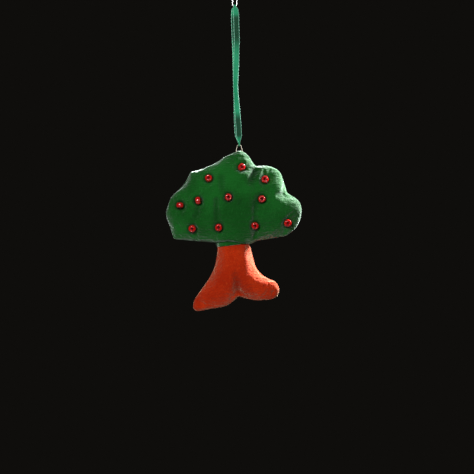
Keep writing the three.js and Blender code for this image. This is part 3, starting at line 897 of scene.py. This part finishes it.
seat = {
    "flat": 1.9,
    "reach": 3.5,
    "puff": 0.55,
    "puffWidth": 1.9,
    "inland": (3, 10),
    "holdReach": 1.9,
    "shadeFrom": 2.2,
    "shadeTo": 3.7,
}
legHoles = {
    "places": (0.85, 4.35),
    "halfWidth": 0.55,
    "halfHeight": 0.45,
    "reach": 3,
    "lowest": -128,
    "dip": 0.15,
    "dipTop": -124.8,
    "dipReach": 1.1,
}
pressing = {
    "rimRoom": 3,
    "fromBead": (2.0, 3.6),
    "foldShade": 0.8,
    "foldReach": 0.55,
    "foldEnd": (6, 9.5),
    "sagStart": 0.9,
    "sagReach": 2.4,
}
blowing = {
    "scale": 10,  # the cloth solver is steadier on a larger piece
    "steps": 20,
    "settings": {
        "use_pressure": True,
        "uniform_pressure_force": 4,
        "vertex_group_mass": "held",
        "quality": 6,
        "mass": 0.3,
        "tension_stiffness": 15,
        "compression_stiffness": 15,
        "shear_stiffness": 5,
        "bending_stiffness": 0.35,
        "air_damping": 2,
    },
}
fibre = {
    "coarse": 2.2,
    "spare": 1.6,
    "inset": 2.4,
    "insetReach": 4,
    "lump": 0.35,
    "share": 0.86,
    "sunk": 0.6,
    "least": 0.2,
}


def standUp(flat, heights):
    # places on the seam's plane with their heights over it, in metres
    return np.stack([flat[:, 0], heights, flat[:, 1]], axis=1) * mm


def evenSteps(line, step):
    run = np.concatenate(([0], np.cumsum(lengths(np.diff(line, axis=0)))))
    places = np.linspace(0, run[-1], max(2, round(run[-1] / step)) + 1)
    return np.stack([np.interp(places, run, line[:, k]) for k in range(line.shape[1])], axis=1)


def stretchLine(points, step):
    # one stretch of an outline: a smooth curve through its points, with its ends repeated
    last = len(points) - 1
    line = []
    for i in range(last):
        b, c = points[i], points[i + 1]
        leave, arrive = (c - points[max(i - 1, 0)]) / 2, (points[min(i + 2, last)] - b) / 2
        line += [cubic(b, c, leave, arrive, t) for t in np.arange(20) / 20]
    line.append(points[-1])
    return evenSteps(np.array(line), step)


def lineDistance(places, line, closed):
    # how far each place lies from a line of points, and where along it the nearest point is
    ends = np.roll(line, -1, 0) if closed else line[1:]
    starts = line if closed else line[:-1]
    best = np.full(len(places), np.inf)
    share = np.zeros(len(places))
    for i, (start, end) in enumerate(zip(starts, ends)):
        along = end - start
        t = np.clip((places - start) @ along / (along @ along), 0, 1)
        away = lengths(places - start - t[:, None] * along)
        nearer = away < best
        best[nearer] = away[nearer]
        share[nearer] = ((i + t) / len(starts))[nearer]
    return best, share


def isInside(places, rim):
    inside = np.zeros(len(places), bool)
    for (x1, z1), (x2, z2) in zip(rim, np.roll(rim, -1, 0)):
        if z1 != z2:
            crosses = (z1 > places[:, 1]) != (z2 > places[:, 1])
            inside ^= crosses & (places[:, 0] < (x2 - x1) * (places[:, 1] - z1) / (z2 - z1) + x1)
    return inside


def stretchPoints(pillow, number):
    # one stretch of the outline from its corner to the next, in millimetres
    outline = pillow["outline"]
    shares = np.array([*outline[number], outline[(number + 1) % len(outline)][0]])
    return shares * (pillow["width"], pillow["height"]) + (pillow["x"], pillow["base"])


def panelRim(pillow):
    rim, mouth = [], []
    for number in range(len(pillow["outline"])):
        line = stretchLine(stretchPoints(pillow, number), felt["rimStep"])[:-1]
        rim.extend(line)
        mouth.extend([number == pillow["mouth"]] * len(line))
    # a turned seam has no sharp corners
    rim = np.array(rim)
    return 0.25 * (np.roll(rim, 1, 0) + np.roll(rim, -1, 0)) + 0.5 * rim, np.array(mouth)


def panelMesh(rim, fold, coarse=1.0):
    # the flat panel in triangles: fine rings along its rim, and even ones over the rest
    along = np.roll(rim, -1, 0) - np.roll(rim, 1, 0)
    normal = np.stack([-along[:, 1], along[:, 0]], axis=1) / lengths(along)[:, None]
    if isInside(rim + 0.05 * normal, rim).mean() <= 0.5:
        normal = -normal
    points = [rim]
    for inset in felt["insets"]:
        ring = rim + inset * coarse * normal
        away, _ = lineDistance(ring, rim, True)
        points.append(ring[(away > felt["insetKept"] * inset * coarse) & isInside(ring, rim)])
    edges = [(i, (i + 1) % len(rim)) for i in range(len(rim))]
    if fold is not None:
        bend = evenSteps(np.array(fold), felt["foldStep"])
        bend = bend[isInside(bend, rim) & (lineDistance(bend, rim, True)[0] > felt["foldGap"])]
        points[1:] = [
            ring[lineDistance(ring, bend, False)[0] > felt["foldRingGap"]] for ring in points[1:]
        ]
        first = sum(len(ring) for ring in points)
        points.append(bend)
        edges += [(first + i, first + i + 1) for i in range(len(bend) - 1)]
    step = felt["lattice"] * coarse
    low, high = rim.min(0), rim.max(0)
    lattice = []
    for row, z in enumerate(np.arange(low[1], high[1], step * felt["rowShare"])):
        xs = np.arange(low[0] + (row % 2) * step / 2, high[0], step)
        lattice.append(np.stack([xs, np.full(len(xs), z)], axis=1))
    lattice = np.concatenate(lattice)
    lattice = lattice[isInside(lattice, rim)]
    room = (felt["insets"][-1] + felt["ringGap"]) * coarse
    lattice = lattice[lineDistance(lattice, rim, True)[0] > room]
    if fold is not None:
        lattice = lattice[lineDistance(lattice, bend, False)[0] > felt["foldGap"]]
    points.append(lattice)
    flat, _, triangles, *_ = geometry.delaunay_2d_cdt(
        [Vector(place) for place in np.concatenate(points)], edges, [], 1, 1e-6, False)
    flat = np.array([list(v) for v in flat])
    triangles = np.array([list(t) for t in triangles])
    a, b, c = (flat[triangles[:, k]] for k in range(3))
    doubled = (b - a)[:, 0] * (c - a)[:, 1] - (b - a)[:, 1] * (c - a)[:, 0]
    triangles[doubled < 0] = triangles[doubled < 0][:, ::-1]
    return flat, triangles[(abs(doubled) > 1e-7) & isInside((a + b + c) / 3, rim)]


def tautSheet(flat, triangles, held, values, load):
    # heights of a thin sheet held at some points and blown up by a load, by conjugate gradients
    count = len(flat)
    rows, columns, weights = [], [], []
    loads = np.zeros(count)
    for k in range(3):
        p, q, r = triangles[:, k], triangles[:, (k + 1) % 3], triangles[:, (k + 2) % 3]
        toQ, toR = flat[q] - flat[p], flat[r] - flat[p]
        doubled = abs(toQ[:, 0] * toR[:, 1] - toQ[:, 1] * toR[:, 0])
        weight = (toQ * toR).sum(1) / doubled / 2
        rows += [q, r]
        columns += [r, q]
        weights += [weight, weight]
        loads += np.bincount(p, doubled / 6, count)
    rows, columns, weights = (np.concatenate(part) for part in (rows, columns, weights))
    total = np.bincount(rows, weights, count)

    def pull(heights):
        return np.where(held, 0, total * heights - np.bincount(rows, weights * heights[columns], count))

    heights = np.where(held, values, 0.0)
    rest = np.where(held, 0, loads * load) - pull(heights)
    step = rest.copy()
    size = rest @ rest
    for _ in range(felt["solveRounds"]):
        if size < felt["solveError"]:
            break
        pulled = pull(step)
        share = size / (step @ pulled)
        heights += share * step
        rest -= share * pulled
        step, size = rest + (rest @ rest) / size * step, rest @ rest
    return heights


def aboveFold(flat, pillow):
    line = np.array(pillow["fold"])
    return flat[:, 1] - np.interp(flat[:, 0], line[:, 0], line[:, 1])


def coverShape(pillow, side, under=None, coarse=1.0, shrink=0.0):
    # one half of a pillow in millimetres. Side -1 is the front, and under is what its mouth rests on.
    rim, mouth = panelRim(pillow)
    fold = pillow["fold"] if side < 0 and not shrink else None
    flat, triangles = panelMesh(rim, fold, coarse)
    away, _ = lineDistance(flat, rim, True)
    held = away < 1e-4
    halves = np.full(len(flat), felt["seam"])
    if under is not None:
        # the mouth and the hem below the fold lie on the trunk, and close towards the mouth's corners
        near = held & (lineDistance(flat, rim[mouth], False)[0] < 1e-3)
        if fold is not None:
            lip = (flat[:, 0] > fold[0][0]) & (flat[:, 0] < fold[-1][0])
            lip &= aboveFold(flat, pillow) < felt["lipReach"]
            near |= lip
            held |= lip
        left, right = stretchPoints(pillow, pillow["mouth"])[[-1, 0], 0]
        ends = np.minimum(abs(flat[:, 0] - left), abs(flat[:, 0] - right))
        rest = np.zeros(len(flat))
        rest[near] = [under(x, z) for x, z in flat[near]]
        opening = smoothStep(0, felt["cornerReach"], ends)
        halves[near] = (felt["seam"] + opening * (rest + felt["mouthGap"] + felt["thickness"]))[near]
    if pillow is foliage and not shrink:
        for x in legHoles["places"]:
            beside = held & (flat[:, 1] > legHoles["lowest"])
            beside &= abs(flat[:, 0] - x) < legHoles["reach"]
            aside = (flat[beside, 0] - x) / legHoles["halfWidth"]
            halves[beside] += legHoles["halfHeight"] * np.exp(-(aside ** 2))
    lift = tautSheet(flat, triangles, held, 0 * halves, 1)
    base = tautSheet(flat, triangles, held, halves, 0)
    crown = pillow["crown"] - shrink
    heights = base + (crown - base) * np.sqrt(np.maximum(lift, 0) / lift.max())
    return flat, triangles, heights, held


def pressCreases(piece, pillow):
    # valleys that the filling leaves in the felt, pushed in once it is blown out, with painted shade in
    # them, round the bead dimples and along the hem's fold
    flat = placesOf(piece.data)[:, [0, 2]] / mm
    room = smoothStep(0, pressing["rimRoom"], lineDistance(flat, panelRim(pillow)[0], True)[0])
    inward = np.zeros(len(flat))
    for line, depth, width in pillow["creases"]:
        away, share = lineDistance(flat, np.array(line), False)
        taper = np.clip(np.sin(np.pi * (share * 0.5 + 0.5)), 0, 1) ** 0.7
        inward += depth * taper * np.exp(-((away / width) ** 2))
    for place in beadPlaces:
        inward *= smoothStep(*pressing["fromBead"], lengths(flat - place))
    inward *= room
    for vertex, shift in zip(piece.data.vertices, inward * mm):
        vertex.co.y += shift
    # painted shade: the felt is darkened in the creases, round the bead dimples and along the hem's
    # fold, where shade falls
    paintedShade = inward * pillow["creaseShade"]
    if pillow is foliage:
        for place in beadPlaces:
            away = lengths(flat - place)
            paintedShade = np.maximum(paintedShade, 1 - smoothStep(seat["shadeFrom"], seat["shadeTo"], away))
        # painted shade along the hem's fold, under the filled part that overhangs it
        start = pillow["fold"][0][0]
        beside = smoothStep(start - 0.5, start + 1, flat[:, 0])
        beside = beside * (1 - smoothStep(*pressing["foldEnd"], flat[:, 0]))
        shade = np.exp(-((aboveFold(flat, pillow) + 0.1) / pressing["foldReach"]) ** 2)
        paintedShade = np.maximum(paintedShade, pressing["foldShade"] * beside * shade)
    layer = piece.data.attributes.new("paintedShade", "FLOAT", "POINT")
    layer.data.foreach_set("value", np.clip(paintedShade, 0, 1))


def overhang(flat, pillow):
    # the filled part sags a little over the hem, which makes the fold
    start, end = pillow["fold"][0][0], pillow["fold"][-1][0]
    above = aboveFold(flat, pillow)
    inside = smoothStep(start - 0.5, start + 2, flat[:, 0])
    inside = inside * (1 - smoothStep(end - 3, end + 2, flat[:, 0]))
    sag = smoothStep(0, pressing["sagStart"], above) * np.exp(-above / pressing["sagReach"])
    sag *= above > 0
    return np.stack([0 * sag, -pillow["overhang"] * inside * sag], axis=1)


def addSeats(flat, heights):
    # each bead's stitch pulls the felt down to just under the bead
    hold = np.zeros(len(flat), bool)
    inland = smoothStep(*seat["inland"], lineDistance(flat, panelRim(foliage)[0], True)[0])
    for number, (middle, bore, lean) in beadFrames.items():
        lies = number in bead["lying"]
        up = lean if lies else bore
        drop = (bead["radius"] if lies else bead["halfLength"]) + bead["seatGap"]
        foot = middle / mm - up * drop
        aside = flat - foot[[0, 2]]
        planeY = foot[1] - (aside[:, 0] * up[0] + aside[:, 1] * up[2]) / up[1]
        away = lengths(aside)
        heights += seat["puff"] * inland * np.exp(-(((away - seat["reach"]) / seat["puffWidth"]) ** 2))
        share = smoothStep(seat["flat"], seat["reach"], away)
        heights += (1 - share) * (-planeY - heights)
        hold |= away < seat["holdReach"]
    return heights, hold


def relaxCloth(piece, held, growth, cap):
    # the filling blows the felt out between its seam and its stitches, which gathers it round them
    scale = blowing["scale"]
    start = placesOf(piece.data)
    piece.data.transform(Matrix.Scale(scale, 4))
    group = piece.vertex_groups.new(name="held")
    group.add([int(i) for i in np.nonzero(held)[0]], 1, "REPLACE")
    cloth = piece.modifiers.new("filled", "CLOTH")
    for key, value in {"shrink_min": -growth, **blowing["settings"]}.items():
        setattr(cloth.settings, key, value)
    cloth.settings.effector_weights.gravity = 0
    cloth.collision_settings.use_collision = False
    cloth.collision_settings.use_self_collision = False
    scene = bpy.context.scene
    for step in range(blowing["steps"]):
        scene.frame_set(step + 1)
    ended = placesOf(piece.evaluated_get(bpy.context.evaluated_depsgraph_get()).data) / scale
    scene.frame_set(1)
    piece.modifiers.remove(cloth)
    piece.vertex_groups.remove(group)
    moved = ended - start
    far = lengths(moved)
    moved *= (cap * np.tanh(far / cap) / np.maximum(far, 1e-12))[:, None]
    print("  cloth moved by up to", round(far.max() / mm, 2), "mm, kept to", round(cap / mm, 2))
    piece.data.vertices.foreach_set("co", (start + moved).ravel())


def makeCover(name, pillow, side, node, under=None):
    flat, triangles, heights, held = coverShape(pillow, side, under)
    pinned = held.copy()
    if side < 0:
        if pillow["fold"]:
            flat = flat + overhang(flat, pillow)
        if pillow is foliage:
            heights, seats = addSeats(flat, heights)
            pinned |= seats
    if pillow is foliage:
        for x in legHoles["places"]:
            aside = np.hypot(flat[:, 0] - x, (flat[:, 1] - legHoles["dipTop"]) * 0.8)
            dip = legHoles["dip"] * np.exp(-((aside / legHoles["dipReach"]) ** 2))
            flat = flat - np.stack([0 * aside, dip], axis=1)
    faces = triangles if side < 0 else triangles[:, ::-1]
    piece = meshPiece(name, standUp(flat, side * heights), faces)
    relaxCloth(piece, pinned, pillow["growth"], pillow["cap"] * mm)
    if side < 0:
        pressCreases(piece, pillow)
    refine(piece).boundary_smooth = "PRESERVE_CORNERS"
    wall = piece.modifiers.new("wall", "SOLIDIFY")
    wall.thickness = felt["thickness"] * mm
    wall.offset = -1
    wall.use_even_offset = False
    applyModifiers(piece)
    smoothShade(piece, 55)
    if pillow is foliage:
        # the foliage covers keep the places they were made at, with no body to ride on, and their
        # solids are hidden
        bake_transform(piece)
        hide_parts(node)
    else:
        settle(piece, "tree", "brown_felt", node)
    return piece


def heightReader(piece):
    # reads how far a cover stands from the seam's plane at a place of that plane, in millimetres
    places = placesOf(piece.data)
    tree = BVHTree.FromPolygons(places.tolist(), [tuple(f.vertices) for f in piece.data.polygons])
    side = np.sign(places[:, 1].sum())

    def read(x, z):
        hit = tree.ray_cast(Vector((x * mm, side * 0.05, z * mm)), Vector((0, -side, 0)))[0]
        return 0.0 if hit is None else abs(hit.y) / mm
    return read


def makeFilling(name, pillow, node):
    # loose fibre filling, a soft lump a little smaller than the covers leave room for
    rim, _ = panelRim(pillow)
    flat, triangles, heights, held = coverShape(
        pillow, -1, None, fibre["coarse"], felt["thickness"] + fibre["spare"])
    away, _ = lineDistance(flat, rim, True)
    toMiddle = np.array([pillow["x"], pillow["base"] + pillow["height"] / 2]) - flat
    toMiddle /= lengths(toMiddle)[:, None]
    inward = flat + toMiddle * (fibre["inset"] * np.exp(-away / fibre["insetReach"]))[:, None]
    lumps = fibre["lump"] * np.sin(flat[:, 0] * 1.1) * np.cos(flat[:, 1] * 1.3 + 0.4)
    least = fibre["least"]
    heights = np.where(held, least, np.maximum(heights * fibre["share"] - fibre["sunk"] + lumps, least))
    count = len(flat)
    rimCount = len(rim)
    faces = [tuple(t) for t in triangles] + [tuple(t[::-1] + count) for t in triangles]
    faces += [(i, (i + 1) % rimCount, (i + 1) % rimCount + count, i + count) for i in range(rimCount)]
    piece = meshPiece(name, [*standUp(inward, -heights), *standUp(inward, heights)], faces)
    refine(piece)
    applyModifiers(piece)
    faceOutwards(piece)
    smoothShade(piece)
    settle(piece, "tree", "stuffing", node)
    return piece


def feltFinish(name, sunk, dark, middle, light, sheenTint):
    # brushed felt: a matted ground, short fibres that lie every way, and a nap combed to the sides
    finish = Finish(name, {
        "Roughness": 0.95, "Specular IOR Level": 0.05,
        "Sheen Weight": 1.0, "Sheen Roughness": 0.4, "Sheen Tint": sheenTint,
    })
    broad = finish.noise(60, 3)
    matted = finish.noise(1300, 4, 0.7)
    shift = finish.node(
        "VectorMath", {"operation": "SCALE"},
        {0: finish.noise(500, 2).other("Color"), "Scale": 1.2 * mm},
    )
    bent = finish.node("VectorMath", {"operation": "ADD"}, [finish.place(), shift])
    fibres = [
        finish.noise(1, 3, 0.6, finish.stretched((2600, 2600, 500), turn, bent))
        for turn in ((0.2, 0.9, 0.4), (0.7, 2.2, -0.5), (1.3, -0.4, 0.9))
    ]
    lying = fibres[0] * 0.34 + fibres[1] * 0.33 + fibres[2] * 0.33
    nap = finish.noise(1, 4, 0.6, finish.stretched((520, 900, 2300), (0, 0.2, 0), bent))
    streaks = finish.noise(1, 1, 0.4, finish.stretched((230, 500, 950), (0, 0.25, 0), bent))
    body = finish.mix(finish.ramp(broad * 0.6 + matted * 0.4, 0.38, 0.62), dark, middle)
    woolly = finish.mix(finish.ramp(lying, 0.52, 0.64) * 0.45, body, light)
    # painted shade: the colour turns towards the sunk colour where paintedShade marks the creases, bead
    # dimples and the hem's fold
    paintedShade = finish.node("Attribute", {"attribute_name": "paintedShade"}, output="Fac")
    finish.surface("Base Color", finish.mix(paintedShade * 0.86, woolly, sunk))
    finish.bump(lying * 0.6 + matted * 0.3 + nap * 0.6 + streaks * 1.3, 0.45 * mm, 0.9)
    return finish.material


def fillingFinish():
    finish = Finish("looseFibre", {"Roughness": 0.9, "Sheen Weight": 0.4})
    strands = finish.noise(1, 4, 0.7, finish.stretched((400, 400, 90), (0.5, 0.3, 0.8)))
    finish.surface("Base Color", finish.mix(strands, colour(214, 211, 202), colour(246, 245, 240)))
    finish.bump(strands, 0.5 * mm, 0.9)
    return finish.material


# each felt's sunk colour is its painted shade colour
greenFelt = feltFinish(
    "greenFelt", sunk=colour(2, 22, 6), dark=colour(12, 72, 18), middle=colour(20, 94, 29),
    light=colour(40, 116, 50), sheenTint=colour(232, 250, 242),
)
brownFelt = feltFinish(
    "brownFelt", sunk=colour(92, 12, 2), dark=colour(156, 32, 4), middle=colour(190, 48, 8),
    light=colour(212, 82, 30), sheenTint=colour(255, 236, 196),
)
looseFibre = fillingFinish()

trunkFront = makeCover("trunkFrontCover", trunk, -1, "trunk_front_cover")
trunkBack = makeCover("trunkBackCover", trunk, 1, "trunk_back_cover")
print("trunk covers made")
underFront, underBack = heightReader(trunkFront), heightReader(trunkBack)
foliageFront = makeCover("foliageFrontCover", foliage, -1, "foliage_front_cover", underFront)
foliageBack = makeCover("foliageBackCover", foliage, 1, "foliage_back_cover", underBack)
for piece in (trunkFront, trunkBack):
    dress(piece, brownFelt)
for piece in (foliageFront, foliageBack):
    dress(piece, greenFelt)
print("foliage covers made")
dress(makeFilling("trunkFilling", trunk, "trunk_stuffing"), looseFibre)
dress(makeFilling("foliageFilling", foliage, "foliage_stuffing"), looseFibre)
print("fillings made")
